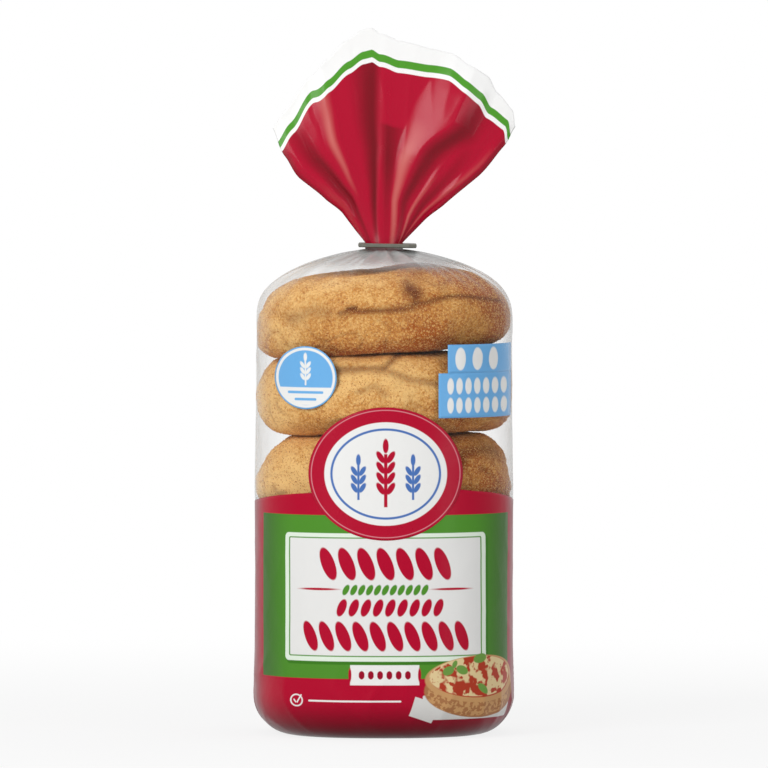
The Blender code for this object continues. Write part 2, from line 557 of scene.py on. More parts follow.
def mark_mask(nodes: Nodes, place: Socket, mark: Mark, across: Callable[[float], float]) -> Socket:
    """Draws one mark as a mask.

    Args:
        nodes: the material's nodes.
        place: the place on the film, in millimetres.
        mark: the mark.
        across: turns a front view's x into the film's own.

    Returns:
        The mask, 1 inside the mark.
    """
    left, right = across(mark.left), across(mark.right)
    reach = (right - left) / 2
    pitch = 2 * reach / mark.repeat
    half = [pitch / 2 * (mark.fill if mark.repeat > 1 else 1.0), (mark.top - mark.bottom) / 2, 1.0]
    local = nodes.vector("SUBTRACT", place, ((left + right) / 2, (mark.bottom + mark.top) / 2, 0.0))
    inside = None
    if mark.repeat > 1:
        inside = nodes.math("LESS_THAN", nodes.math("ABSOLUTE", nodes.split(local)[0]), reach)
        start = nodes.vector("ADD", local, (reach, 0.0, 0.0))
        local = nodes.vector("WRAP", start, (pitch, FAR_MM, 1.0), (0.0, -FAR_MM, -1.0))
        local = nodes.vector("SUBTRACT", local, (pitch / 2, 0.0, 0.0))
    if mark.turn:
        local = nodes.add("ShaderNodeVectorRotate", {"rotation_type": "Z_AXIS"},
                          {"Vector": local, "Angle": -math.radians(mark.turn)}).outputs[0]
    away = nodes.vector("ABSOLUTE", local)
    if mark.outline is Outline.OVAL:
        away = nodes.vector("DIVIDE", away, half)
        rim, edge = 1.0, EDGE_MM / min(half[0], half[1])
    else:
        rim, edge = max(mark.corner, EDGE_MM), EDGE_MM
        away = nodes.vector("SUBTRACT", away, (half[0] - rim, half[1] - rim, 0.0))
        away = nodes.vector("MAXIMUM", away, (0.0, 0.0, 0.0))
    beyond = nodes.math("SUBTRACT", nodes.vector("LENGTH", away), rim)
    mask = nodes.remap(beyond, -edge, edge, 1.0, 0.0)
    if inside is not None:
        mask = nodes.math("MULTIPLY", mask, inside)
    if mark.grain:
        level = 1 - mark.amount
        blots = nodes.remap(nodes.cloud(place, mark.grain, 2.0), level - 0.03, level + 0.03)
        mask = nodes.math("MULTIPLY", mask, blots)
    return mask


def print_marks(nodes: Finish, ground: Any, marks: Sequence[Mark],
                across: Callable[[float], float] = float) -> Any:
    """Prints marks one over the other.

    Args:
        nodes: the material's nodes.
        ground: the ink, or colour output, under them.
        marks: the marks, from the lowest to the top one.
        across: turns a front view's x into the film's own.

    Returns:
        The printed colour.
    """
    place = nodes.printed()
    colour = ground
    for mark in marks:
        colour = nodes.mix(mark_mask(nodes, place, mark, across), colour, mark.ink)
    return colour


@dataclass(frozen=True)
class PrintedFilm:
    """Polythene film printed in opaque inks: a smooth gloss over flat colour, finely crinkled."""

    name: str
    ground: Ink
    marks: tuple[Mark, ...] = ()
    roughness: float = 0.3
    crinkle_mm: float = 7.0
    relief_mm: float = 0.12
    gloss: float = 0.16

    def material(self) -> bpy.types.Material:
        """Builds the finish."""
        nodes = Finish(self.name)
        return self.finish(nodes, print_marks(nodes, self.ground, self.marks))

    def finish(self, nodes: Finish, colour: Any) -> bpy.types.Material:
        """Puts the printed colour on glossy film.

        Args:
            nodes: the material being made.
            colour: the printed colour.

        Returns:
            The finished material.
        """
        dents = nodes.cloud(nodes.place(), self.crinkle_mm * MM, 3.0, 0.55)
        rough = nodes.remap(dents, 0.0, 1.0, self.roughness - 0.06, self.roughness + 0.08)
        return nodes.done(nodes.solid(colour, rough, 1.5, Normal=nodes.bump(dents, self.relief_mm),
                                      Specular_IOR_Level=self.gloss))


@dataclass(frozen=True)
class StripedFilm(PrintedFilm):
    """The fan's film: red, with painted shade and painted highlights along its folds, then a white line, a
    green stripe and a white margin at its cut edge.
    """

    stripe_mm: float = 2.7
    line_mm: float = 1.7

    def material(self) -> bpy.types.Material:
        """Builds the finish, with its bands measured down from the white margin."""
        nodes = Finish(self.name)
        depth, down, _ = nodes.split(nodes.printed())
        # Painted shade: the first print coordinate deepens the red in the fan's folds.
        ground = nodes.mix(depth, self.ground, Ink.FOLD_SHADE_RED)
        # Painted highlight: below 0, the same coordinate turns the red pale pink along the folds' ridges.
        ground = nodes.mix(nodes.math("MULTIPLY", depth, -1.0), ground, Ink.HIGHLIGHT_PINK)
        colour: Any = Ink.MARGIN
        edge = 0.0
        for width, ink in ((self.stripe_mm, Ink.STRIPE_GREEN), (self.line_mm, Ink.MARGIN), (0.0, ground)):
            colour = nodes.mix(nodes.remap(down, edge - EDGE_MM, edge + EDGE_MM), colour, ink)
            edge += width
        return self.finish(nodes, colour)


@dataclass(frozen=True)
class ClearFilm:
    """Clear polythene film: seen through, milky where it is gathered, bright at a glancing view."""

    name: str = "clear_polythene_film"
    veil: float = 0.012
    gathered_veil: float = 0.6
    glance_power: float = 4.0
    glance_level: float = 0.45
    gather_mm: Spot = (161.5, 168.0)

    def material(self) -> bpy.types.Material:
        """Builds the finish."""
        nodes = Finish(self.name)
        place = nodes.place()
        gather = nodes.remap(nodes.split(place)[2], self.gather_mm[0] * MM, self.gather_mm[1] * MM,
                             self.veil, self.gathered_veil, smooth=True)
        patch = nodes.remap(nodes.cloud(place, 9 * MM, 3.0), 0.3, 0.7, 0.75, 1.3)
        bump = nodes.bump(nodes.cloud(place, 6 * MM, 3.0), 0.18)
        facing = nodes.add("ShaderNodeLayerWeight", {}, {"Blend": 0.5, "Normal": bump}).outputs["Facing"]
        glance = nodes.math("MULTIPLY", nodes.math("POWER", facing, self.glance_power),
                            self.glance_level)
        cover = nodes.math("ADD", nodes.math("MULTIPLY", gather, patch), glance, use_clamp=True)
        clear = nodes.add("ShaderNodeBsdfTransparent", {}, {"Color": (0.98, 0.98, 0.98, 1.0)})
        milk = nodes.solid(Ink.MILK, 0.22, 1.5, Normal=bump)
        return nodes.done(nodes.blend(cover, clear.outputs[0], milk))


@dataclass(frozen=True)
class BakedCrust:
    """Griddled bread crust: matte, golden, browner where it is toasted, with painted shade in its folds
    and towards its right side.
    """

    name: str = "baked_muffin_crust"
    grit_mm: float = 0.95

    def material(self) -> bpy.types.Material:
        """Builds the finish from the mesh's values for toasting with painted shade to the right, and for
        painted shade in the folds, and fine grit.
        """
        nodes = Finish(self.name)
        place = nodes.place()
        toast_and_shade, fold_shade = (nodes.add("ShaderNodeAttribute", {"attribute_name": name}).outputs["Fac"]
                         for name in ("toast_and_shade", "fold_shade"))
        mottle = nodes.cloud(place, 5 * MM, 5.0, 0.65)
        grit = nodes.cloud(place, 0.9 * MM, 3.0, 0.7)
        baked = nodes.math("MULTIPLY_ADD", grit, 0.8, nodes.math("MULTIPLY_ADD", mottle, 0.6, toast_and_shade))
        colours = nodes.add("ShaderNodeValToRGB", {}, {0: baked})
        ramp = colours.color_ramp.elements
        ramp[0].position, ramp[0].color = 0.55, linear(Ink.CRUST_LIGHT.value)
        ramp[1].position, ramp[1].color = 1.0, linear(Ink.CRUST_TOASTED.value)
        ramp.new(0.78).color = linear(Ink.CRUST_MIDDLE.value)
        cells = nodes.add("ShaderNodeTexVoronoi", {"feature": "F1"},
                          {"Vector": place, "Scale": 1 / (self.grit_mm * MM)}).outputs["Distance"]
        gritty = nodes.mix(nodes.remap(cells, 0.2, 0.45, 0.6, 0.0), colours.outputs[0], Ink.CRUST_GRIT)
        # Painted shade in the crust's folds.
        folded = nodes.mix(fold_shade, gritty, Ink.CRUST_FOLD_SHADE)
        return nodes.done(nodes.solid(folded, 0.8, 1.4, Normal=nodes.bump(grit, 0.35, 0.8),
                                      Specular_IOR_Level=0.3))


@dataclass(frozen=True)
class DryGrain:
    """Semolina: small hard grains, cream to toasted gold, matte with a faint glint."""

    name: str = "toasted_semolina"

    def material(self) -> bpy.types.Material:
        """Builds the finish, which changes from one grain to the next."""
        nodes = Finish(self.name)
        change = nodes.remap(nodes.cloud(nodes.place(), 1.6 * MM, 1.0), 0.35, 0.65)
        return nodes.done(nodes.solid(nodes.mix(change, Ink.GRAIN_PALE, Ink.GRAIN_GOLD), 0.6, 1.45))


@dataclass(frozen=True)
class TagPlastic:
    """Polystyrene sheet, die cut: olive grey and satin, with a faintly mottled face."""

    name: str = "die_cut_polystyrene"

    def material(self) -> bpy.types.Material:
        """Builds the finish."""
        nodes = Finish(self.name)
        cloud = nodes.cloud(nodes.place(), 2.5 * MM, 4.0)
        colour = nodes.mix(cloud, Ink.TAG_GREY, Ink.TAG_WORN)
        return nodes.done(nodes.solid(colour, 0.42, 1.59, Normal=nodes.bump(cloud, 0.05, 0.4)))



def film_mesh(turn_steps: int, rows: int, place: Callable[[float, int], Vector],
              spot: Callable[[float, int], Spot]) -> bpy.types.Mesh:
    """Wraps a grid round the bag as a film, joined down its back.

    Args:
        turn_steps: how many steps it has round the bag.
        rows: how many steps it has upwards.
        place: the point for a turn and a row.
        spot: the printed place for a turn and a row, in millimetres.

    Returns:
        The film's mesh, with its outer face out.
    """
    bm = bmesh.new()
    bmesh.ops.create_grid(bm, x_segments=turn_steps, y_segments=rows, size=1.0)
    layer = bm.loops.layers.uv.new("print")
    steps = {vert: ((vert.co.x + 1) / 2, round((vert.co.y + 1) / 2 * rows)) for vert in bm.verts}
    spots = {vert: spot((share - 0.5) * math.tau, row) for vert, (share, row) in steps.items()}
    for face in bm.faces:
        for loop in face.loops:
            loop[layer].uv = spots[loop.vert]
    for vert, (share, row) in steps.items():
        vert.co = place((share - 0.5) * math.tau, row)
    bmesh.ops.remove_doubles(bm, verts=bm.verts, dist=1e-6)
    bmesh.ops.dissolve_degenerate(bm, edges=bm.edges, dist=1e-7)
    return finished(bm, "film")


PRINT_TOP = ((-math.pi, 81.0), (-1.57, 81.0), (-0.65, 85.4), (-0.2, 87.2), (0.2, 87.6), (0.5, 87.2),
             (0.79, 85.9), (1.57, 81.4), (math.pi, 81.0))


def print_top(turn: float) -> float:
    """The height of the printed wrap's arched top edge at a turn."""
    return read_line(PRINT_TOP, turn, 0.35) * MM


def wheat_ear(ink: Ink, x: float, z: float, size: float, pairs: int) -> tuple[Mark, ...]:
    """A plain wheat ear: a stem and leaning grains.

    Args:
        ink: its colour.
        x: its middle across.
        z: its middle upwards.
        size: its height.
        pairs: how many pairs of grains it has.

    Returns:
        Its marks.
    """
    grain = size / (pairs + 1.4)
    marks = [bar(ink, x - size * 0.026, x + size * 0.026, z - size * 0.5, z + size * 0.3)]
    for pair in range(pairs):
        height = z - size * 0.22 + grain * 0.85 * pair
        for side in (-1, 1):
            marks.append(oval(ink, x + side * grain * 0.42, height, grain * 0.24, grain * 0.56,
                              turn=-side * 32))
    marks.append(oval(ink, x, z + size * 0.42, grain * 0.24, grain * 0.6))
    return tuple(marks)


def grain_row(ink: Ink, left: float, right: float, bottom: float, top: float, count: int,
              lean: float) -> Mark:
    """A row of leaning grain shapes, as a plain border has."""
    return Mark(Outline.OVAL, ink, left, right, bottom, top, turn=lean, repeat=count, fill=0.72)


def wrap_marks() -> tuple[Mark, ...]:
    """What is printed on the lower wrap, from the lowest ink up, and on its joined back."""
    half_girth = GIRTH[-1] / MM / 2
    marks = [
        bar(Ink.SHADE, -34.0, 36.3, 26.3, 71.0, corner=1.8),
        bar(Ink.BORDER, -34.4, 35.5, 27.4, 71.8, corner=1.7),
        bar(Ink.GREEN, -33.1, 34.1, 29.0, 70.4, corner=0.7),
        bar(Ink.PANEL, -32.7, 33.7, 29.4, 70.0, corner=0.4),
    ]
    marks += [
        grain_row(Ink.RED, -22.6, 23.6, 55.2, 67.2, 7, 22.0),
        oval(Ink.RED, -22.6, 52.4, 6.4, 0.42),
        oval(Ink.RED, 23.6, 52.4, 6.4, 0.42),
        grain_row(Ink.GREEN, -14.6, 15.6, 50.2, 54.2, 11, -28.0),
        grain_row(Ink.RED, -16.8, 21.0, 42.8, 49.2, 9, -22.0),
        grain_row(Ink.RED, -28.2, 29.6, 30.6, 41.6, 10, 22.0),
    ]
    marks += [
        bar(Ink.WHITE, -11.8, 12.3, 19.2, 26.2),
        oval(Ink.RED, -11.9, 22.7, 0.55, 2.4),
        oval(Ink.RED, 12.4, 22.7, 0.55, 2.4),
        bar(Ink.DEEP_RED, -9.4, 9.9, 21.2, 24.2, corner=1.2, repeat=6, fill=0.62),
        oval(Ink.WHITE, -30.5, 13.6, 2.2, 2.2),
        oval(Ink.RED, -30.5, 13.6, 1.75, 1.75),
        bar(Ink.WHITE, -31.7, -30.5, 13.15, 13.65, turn=-48),
        bar(Ink.WHITE, -31.0, -28.2, 13.95, 14.45, turn=55),
        bar(Ink.WHITE, -26.4, 6.0, 13.3, 13.9, corner=0.3),
    ]
    marks += [
        bar(Ink.PAPER, 13.5, 43.6, 7.0, 15.6, corner=0.6),
        bar(Ink.PAPER, 9.6, 18.5, 7.0, 14.0, turn=-18),
        oval(Ink.CRUMB, 29.2, 17.0, 15.2, 9.6),
        oval(Ink.CRUMB_RIM, 29.2, 15.6, 14.2, 7.6, grain=1.6, amount=0.5),
        oval(Ink.CRUMB_RIM, 29.3, 20.9, 15.0, 8.2),
        oval(Ink.SAUCE, 29.8, 21.6, 13.8, 7.2),
        oval(Ink.CHEESE, 29.6, 21.8, 13.8, 7.0, grain=5.0, amount=0.52),
        oval(Ink.SAUCE, 29.6, 21.8, 13.6, 6.6, grain=2.6, amount=0.40),
        oval(Ink.LEAF, 22.4, 24.0, 2.0, 1.5, turn=25),
        oval(Ink.LEAF, 27.2, 24.2, 2.1, 1.5, turn=-20),
        oval(Ink.LEAF, 33.4, 28.0, 2.2, 1.6, turn=10),
        oval(Ink.LEAF, 34.4, 17.4, 1.9, 1.3, turn=-35),
        oval(Ink.LEAF, 24.6, 26.2, 1.3, 0.9, turn=60),
    ]
    for side in (-1, 1):
        middle = side * half_girth
        marks.append(bar(Ink.PANEL, middle - BACK_HALF_WIDTH, middle + BACK_HALF_WIDTH, 24.0, 72.0,
                         corner=1.6))
    return tuple(marks)


def wrap_across(x: float) -> float:
    """The film's own x for a front view's x, which past the sides is the way round already."""
    return film_x(x) if abs(x) < FORM.half_width / MM else x


GREEN_FIELD = bar(Ink.GREEN, -42.3, 43.3, 21.4, 78.0, corner=0.3)


@dataclass(frozen=True)
class WrapFilm(PrintedFilm):
    """The lower wrap's printed film, with painted shade: its red deepens towards its foot and its sides,
    and its green towards its sides.
    """

    foot_shade_mm: Spot = (-4.0, 17.0)
    side_shade_mm: Spot = (40.0, 45.3)
    green_shade_mm: Spot = (31.0, 42.5)

    def material(self) -> bpy.types.Material:
        """Builds the finish with its marks laid round the bag."""
        nodes = Finish(self.name)
        place = nodes.printed()
        across, up, _ = nodes.split(place)
        away = nodes.math("ABSOLUTE", across)
        # Painted shade: the red and the green darken towards the bag's sides, and the red towards its
        # foot.
        side, shaded = (nodes.remap(away, film_x(reach[0]), film_x(reach[1]), smooth=True)
                        for reach in (self.side_shade_mm, self.green_shade_mm))
        foot = nodes.remap(up, self.foot_shade_mm[0], self.foot_shade_mm[1], 1.0, 0.0, smooth=True)
        ground = nodes.mix(foot, nodes.mix(side, self.ground, Ink.SIDE_SHADE_RED), Ink.FOOT_SHADE_RED)
        green = nodes.mix(shaded, Ink.GREEN, Ink.SIDE_SHADE_GREEN)
        ground = nodes.mix(mark_mask(nodes, place, GREEN_FIELD, wrap_across), ground, green)
        return self.finish(nodes, print_marks(nodes, ground, wrap_marks(), wrap_across))



@dataclass
class LowerWrap:
    """The opaque printed film round the lower half, with its folded foot."""

    turn_steps: int = 300
    base_rows: int = 8
    foot_rows: int = 14
    wall_rows: int = 66
    film: float = 0.1 * MM

    def height(self, turn: float, row: int) -> float:
        """The height of a row at a turn."""
        if row <= self.base_rows:
            return 0.0
        if row <= self.base_rows + self.foot_rows:
            share = (row - self.base_rows) / self.foot_rows
            return FORM.foot_height * (1 - math.cos(share * math.pi / 2))
        share = (row - self.base_rows - self.foot_rows) / self.wall_rows
        return FORM.foot_height + (print_top(turn) - FORM.foot_height) * share

    def place(self, turn: float, row: int) -> Vector:
        """The point of a row at a turn."""
        if row < self.base_rows:
            share = row / self.base_rows
            spot = FORM.wall(turn, 0.0)
            fold = 0.4 * MM * (0.5 + 0.5 * math.sin(4 * turn)) * share * (1 - share)
            return Vector((spot.x * share, spot.y * share, fold))
        return FORM.wall(turn, self.height(turn, row))

    def spot(self, turn: float, row: int) -> Spot:
        """The printed place of a row at a turn."""
        return along(turn), self.height(turn, row) / MM - max(0, self.base_rows - row) * 6.0

    def build(self) -> bpy.types.Object:
        """Builds and dresses the wrap."""
        rows = self.base_rows + self.foot_rows + self.wall_rows
        mesh = film_mesh(self.turn_steps, rows, self.place, self.spot)
        finish = WrapFilm("printed_polythene_wrap", Ink.RED, gloss=0.12)
        piece = link_piece("bag_printed_wrap", mesh, finish.material(), Slot.PRINT)
        thicken(piece, self.film)
        return piece


@dataclass
class Window:
    """The clear film from the wrap's top edge over the shoulder to the neck."""

    turn_steps: int = 320
    wall_rows: int = 44
    shoulder_rows: int = 46
    lap: float = 0.6 * MM
    tuck: float = 0.12 * MM
    film: float = 0.06 * MM

    def place(self, turn: float, row: int) -> Vector:
        """The point of a row at a turn."""
        if row <= self.wall_rows:
            low = print_top(turn) - self.lap
            height = low + (FORM.shoulder_foot - low) * row / self.wall_rows
            return FORM.wall(turn, height, -self.tuck * (1 - ease(row / 4)))
        share = (row - self.wall_rows) / self.shoulder_rows
        if share < 1:
            return FORM.shoulder(turn, FORM.neck_share() * math.sin(share * math.pi / 2))
        return FORM.neck(turn, TAG_LOW[2])

    def spot(self, turn: float, row: int) -> Spot:
        """The printed place of a row at a turn."""
        return along(turn), self.place(turn, row).z / MM

    def build(self) -> bpy.types.Object:
        """Builds and dresses the window."""
        rows = self.wall_rows + self.shoulder_rows
        mesh = film_mesh(self.turn_steps, rows, self.place, self.spot)
        piece = link_piece("bag_clear_window", mesh, ClearFilm().material(), Slot.CLEAR)
        thicken(piece, self.film)
        return piece


@dataclass(frozen=True)
class Crease:
    """A long fold of the gathered film, which runs up from the neck towards the cut edge.

    Its lines are read by rise, from 0 at the neck to 1 at the cut edge.
    """

    path: Line
    height: Line
    left: Line
    right: Line
    crisp: float = 0.0

    def forward(self, lean: float, rise: float) -> float:
        """How far the fold brings the film forward.

        Args:
            lean: the direction from upright, in degrees.
            rise: the share of the way up to the cut edge.

        Returns:
            The distance in millimetres.
        """
        gap = lean - read_line(self.path, rise, 0.4)
        width = read_line(self.left if gap < 0 else self.right, rise, 0.4)
        near = max(0.0, 1 - abs(gap) / width)
        return read_line(self.height, rise, 0.4) * (self.crisp * near + (1 - self.crisp) * ease(near))


def creases() -> tuple[Crease, ...]:
    """The folds of the fan: a deep one at its middle, a broad bright one to its right, small ones."""
    return (
        Crease(line(0, -8.5, 0.45, -3.2, 1, -2.2), line(0, -0.3, 0.2, -0.5, 1, -0.4),
               line(0, 7, 0.5, 6, 1, 8), line(0, 3), 0.2),
        Crease(line(0, 16, 0.21, 10.3, 0.47, 14, 0.68, 22.4, 0.9, 23.4, 1, 24),
               line(0, 0.6, 0.21, 1.1, 0.47, 2.4, 0.68, 4.4, 0.85, 3.8, 1, 2.4),
               line(0, 7.6, 0.21, 6.3, 0.47, 9, 0.68, 14, 0.93, 9.4), line(0, 5, 0.5, 8, 1, 9), 0.75),
        Crease(line(0, 26, 0.15, 22.4, 0.27, 24, 0.4, 25.4, 0.6, 28),
               line(0, 0.4, 0.15, 0.6, 0.36, 0.55, 0.5, 0), line(0, 2.2), line(0, 4), 0.8),
        Crease(line(0, 33, 0.25, 36, 0.5, 40, 1, 43), line(0, 0.2, 0.3, 0.6, 0.7, 0.6, 1, 0.2),
               line(0, 4, 1, 3), line(0, 4, 1, 3), 0.8),
        Crease(line(0, -15, 0.3, -16.6, 1, -16.4), line(0, 0, 0.3, 0.2, 0.5, 0.7, 0.8, 1.2, 1, 1.3),
               line(0, 3, 1, 4.4), line(0, 7, 1, 9), 0.85),
        Crease(line(0, -20, 0.2, -23, 0.5, -26.5, 0.8, -29),
               line(0, -0.4, 0.25, -1.3, 0.5, -1.3, 0.8, -0.4, 1, 0), line(0, 6, 1, 8), line(0, 3.5)),
        Crease(line(0, -29, 1, -31), line(0, 0.2, 0.2, 1, 0.45, 0.9, 0.7, 0.2, 1, 0), line(0, 6),
               line(0, 5), 0.3),
    )


def shades() -> tuple[Crease, ...]:
    """Where shade is painted into the ink as a deeper red: down the folds' valleys, under the doubled film
    and where it turns away from the light. Heights are shares.
    """
    return (
        Crease(line(0, -8.5, 0.45, -3.4, 1, -2.4), line(0, 0.5, 0.2, 0.95, 0.75, 0.85, 1, 0.6),
               line(0, 5, 1, 8), line(0, 2.4)),
        Crease(line(0, 1.6), line(0, 0, 0.12, 0.2, 0.4, 0.8, 0.565, 0.7, 0.578, 0, 1, 0), line(0, 4),
               line(0, 7.5)),
        Crease(line(0, 20, 0.21, 14.5, 0.47, 18.6, 0.68, 27, 0.9, 28.6),
               line(0, 0.3, 0.3, 0.75, 0.65, 0.75, 0.9, 0.4, 1, 0.3), line(0, 4.5),
               line(0, 5, 0.5, 9, 1, 9)),
        Crease(line(0, -20, 0.2, -22, 0.5, -25, 0.8, -29),
               line(0, 0.4, 0.3, 0.85, 0.55, 0.75, 0.8, 0.35, 1, 0), line(0, 6, 1, 8), line(0, 3, 1, 5)),
        Crease(line(0, -39), line(0, 0.9, 0.4, 0.8, 0.8, 0.6, 1, 0.4), line(0, 3), line(0, 4)),
        Crease(line(0, 29, 0.25, 29.5, 0.45, 32), line(0, 0.5, 0.25, 0.7, 0.45, 0.4, 0.7, 0),
               line(0, 4, 1, 5), line(0, 6)),
        Crease(line(0, 44.2), line(0, 0.8, 0.3, 0.7, 0.8, 0.5, 1, 0.4), line(0, 4, 1, 5), line(0, 3)),
    )


def painted_highlights() -> tuple[Crease, ...]:
    """Where a highlight is painted into the ink as a pale pink, along the ridges of the folds. Heights are
    shares.
    """
    return (
        Crease(line(0, 11.8, 0.21, 7.4, 0.4, 8.2, 0.55, 11),
               line(0, 0.6, 0.2, 0.7, 0.42, 0.7, 0.55, 0.3, 0.65, 0), line(0, 5.5, 0.2, 3.8, 0.5, 4.5),
               line(0, 5.5, 0.2, 3.8, 0.5, 5), 0.2),
        Crease(line(0, 26, 0.15, 22.4, 0.27, 24, 0.4, 25.4), line(0, 0.6, 0.15, 0.7, 0.3, 0.4, 0.42, 0),
               line(0, 2.6, 1, 1.2), line(0, 2.6, 1, 2.4), 0.4),
        Crease(line(0, 30, 0.12, 33, 0.25, 36, 0.5, 40, 1, 43),
               line(0, 0.4, 0.1, 0.5, 0.3, 0.35, 0.6, 0.25, 0.9, 0), line(0, 3, 1, 1.6),
               line(0, 3, 1, 1.8), 0.4),
        Crease(line(0.3, -17.4, 0.6, -17.2, 1, -17), line(0.26, 0, 0.42, 0.5, 0.6, 0.8, 0.85, 0.5, 1, 0.4),
               line(0.3, 2, 1, 3), line(0.3, 1.6, 1, 3.4), 0.2),
        Crease(line(0, -31, 0.25, -32, 0.5, -34), line(0, 0, 0.12, 0.14, 0.3, 0.16, 0.5, 0), line(0, 5),
               line(0, 6)),
    )


@dataclass
class Fan:
    """The gathered film above the tag: two layers that share their folds, open at the cut edge."""

    left: float = -39.0
    right: float = 44.2
    belly: float = 20.0
    turn_steps: int = 440
    rows: int = 98
    neck_rows: int = 4
    film: float = 0.12 * MM
    folds: tuple[Crease, ...] = field(default_factory=creases)
    shades: tuple[Crease, ...] = field(default_factory=shades)
    highlights: tuple[Crease, ...] = field(default_factory=painted_highlights)
    edge: Line = line(-39, 51.3, -30.3, 54.6, -19.4, 61.8, -14.5, 66, -8.5, 71.7, -4.9, 74.7, -2.8,
                      75.3, -1, 73.3, 3.7, 70.7, 11.3, 69.2, 17.2, 69.1, 22, 67, 27.8, 65.9, 32.3,
                      62.4, 39.6, 60.2, 44.2, 56.4)
    margin: Line = line(-39, 6, -28, 5.7, -20.7, 4.9, -16, 7.1, -6.5, 7.7, -3.2, 7.8, 1.8, 7, 16, 5.4, 20,
                        5.5, 28.5, 7, 44.2, 3.9)
    spread_left: Line = line(0, 1, 0.26, 0.95, 0.38, 1.13, 0.57, 1.26, 0.75, 1.15, 1, 1)
    spread_right: Line = line(0, 1, 0.2, 1, 0.32, 1.12, 0.58, 1.17, 0.83, 1.08, 1, 1)
    behind: Line = line(-39, 0.6, -30, 3.4, -18, 1.8, -8, 4.2, 2, 2, 12, 3.8, 24, 1.7, 34, 3.6, 44.2, 0.6)

    def direction(self, turn: float) -> float:
        """The fan's direction, in degrees from upright, for a turn round the neck."""
        across = math.asin(max(-1.0, min(1.0, math.sin(turn)))) / (math.pi / 2)
        return across * (self.right if across > 0 else -self.left)

    def forward(self, lean: float, rise: float) -> float:
        """How far the film stands forward at a direction and rise, in millimetres."""
        folded = sum(fold.forward(lean, rise) for fold in self.folds)
        folded *= 1 - 0.45 * ease((rise - 0.8) / 0.2)
        wrinkle = (1 - abs(noise.noise(Vector((lean / 7.0, rise * 1.4, 7.0))))) ** 5
        return folded + self.belly * rise * (1 - rise) ** 1.5 + 0.5 * wrinkle * rise * (1.2 - rise)

    def place(self, turn: float, row: int) -> Vector:
        """The point of a row at a turn, from inside the tag's eye to the cut edge."""
        base = TAG_HIGH[2] + 0.1 * MM
        if row < self.neck_rows:
            return FORM.neck(turn, TAG_LOW[2] + (base - TAG_LOW[2]) * row / self.neck_rows)
        rise = (row - self.neck_rows) / (self.rows - self.neck_rows)
        lean_degrees = self.direction(turn)
        reach = rise * read_line(self.edge, lean_degrees, 0.5) * MM
        gather = min(1.0, 2.2 * rise) ** 0.9
        lean = math.radians(lean_degrees)
        grow = read_line(self.spread_left if lean_degrees < 0 else self.spread_right, rise, 0.6)
        layer = math.cos(turn)
        edge_fold = min(1.0, abs(layer) * 5)
        back = read_line(self.behind, lean_degrees) * edge_fold if layer < 0 else 0.0
        y = -FORM.neck_half_depth * layer * (1 - gather)
        y -= gather * self.forward(lean_degrees, rise) * MM
        y += gather * (back - 0.5 * edge_fold * (1 if layer > 0 else 0)) * MM
        x = FORM.neck_half_width * math.sin(turn) + reach * math.sin(lean) * grow
        return Vector((x, y, base + reach * math.cos(lean)))

    def spot(self, turn: float, row: int) -> Spot:
        """The painted shade as a deeper ink, below 0 where a highlight is painted pale, and the way down
        from the margin.
        """
        lean = self.direction(turn)
        rise = max(0.0, (row - self.neck_rows) / (self.rows - self.neck_rows))
        # Painted shade in the folds, as a deeper red.
        deep = max(shade.forward(lean, rise) for shade in self.shades)
        depth = (1 - rise) * read_line(self.edge, lean, 0.5)
        # Painted highlights along the folds' ridges, as a pale pink.
        pale = max(line.forward(lean, rise) for line in self.highlights)
        return deep * (1 - pale) - pale, depth - read_line(self.margin, lean, 0.7)

    def build(self) -> bpy.types.Object:
        """Builds and dresses the fan."""
        mesh = film_mesh(self.turn_steps, self.rows, self.place, self.spot)
        finish = StripedFilm("printed_polythene_fan", Ink.RED, relief_mm=0.04, roughness=0.24, gloss=0.2)
        piece = link_piece("bag_printed_fan", mesh, finish.material(), Slot.PRINT)
        thicken(piece, self.film)
        return piece


@dataclass(frozen=True)
class Label:
    """Ink printed on the window: a thin patch that lies on the film's outer face.

    Its patches are (left, right, bottom, top) boxes in a front view's millimetres, and a round
    label fills the oval in its box.
    """

    name: str
    patches: tuple[tuple[float, float, float, float], ...]
    ground: Ink
    marks: tuple[Mark, ...]
    rounded: bool
    step_mm: float = 0.9
    lift: float = 0.1 * MM
    film: float = 0.05 * MM

    def build(self) -> bpy.types.Object:
        """Builds and dresses the label."""
        bm = bmesh.new()
        layer = bm.loops.layers.uv.new("print")
        for left, right, bottom, top in self.patches:
            columns = max(4, round((right - left) / self.step_mm))
            rows = max(4, round((top - bottom) / self.step_mm))
            made = bmesh.ops.create_grid(bm, x_segments=columns, y_segments=rows, size=1.0)
            for vert in made["verts"]:
                across, up = vert.co.x, vert.co.y
                if self.rounded:
                    across, up = (across * math.sqrt(1 - up * up / 2),
                                  up * math.sqrt(1 - across * across / 2))
                vert.co = Vector((left + (right - left) * (across + 1) / 2,
                                  bottom + (top - bottom) * (up + 1) / 2, 0.0))
        for face in bm.faces:
            for loop in face.loops:
                loop[layer].uv = loop.vert.co.xy
        for vert in bm.verts:
            x, height = vert.co.x * MM, vert.co.y * MM
            vert.co = FORM.wall(FORM.turn_at(x, height), height, self.lift)
        finish = PrintedFilm(self.name + "_ink", self.ground, self.marks, roughness=0.28)
        piece = link_piece(self.name, finished(bm, self.name), finish.material(), Slot.PRINT)
        thicken(piece, self.film)
        return piece


LOWER_CHORDS = (3.9, 4.9, 5.9, 6.9, 7.9, 8.9)


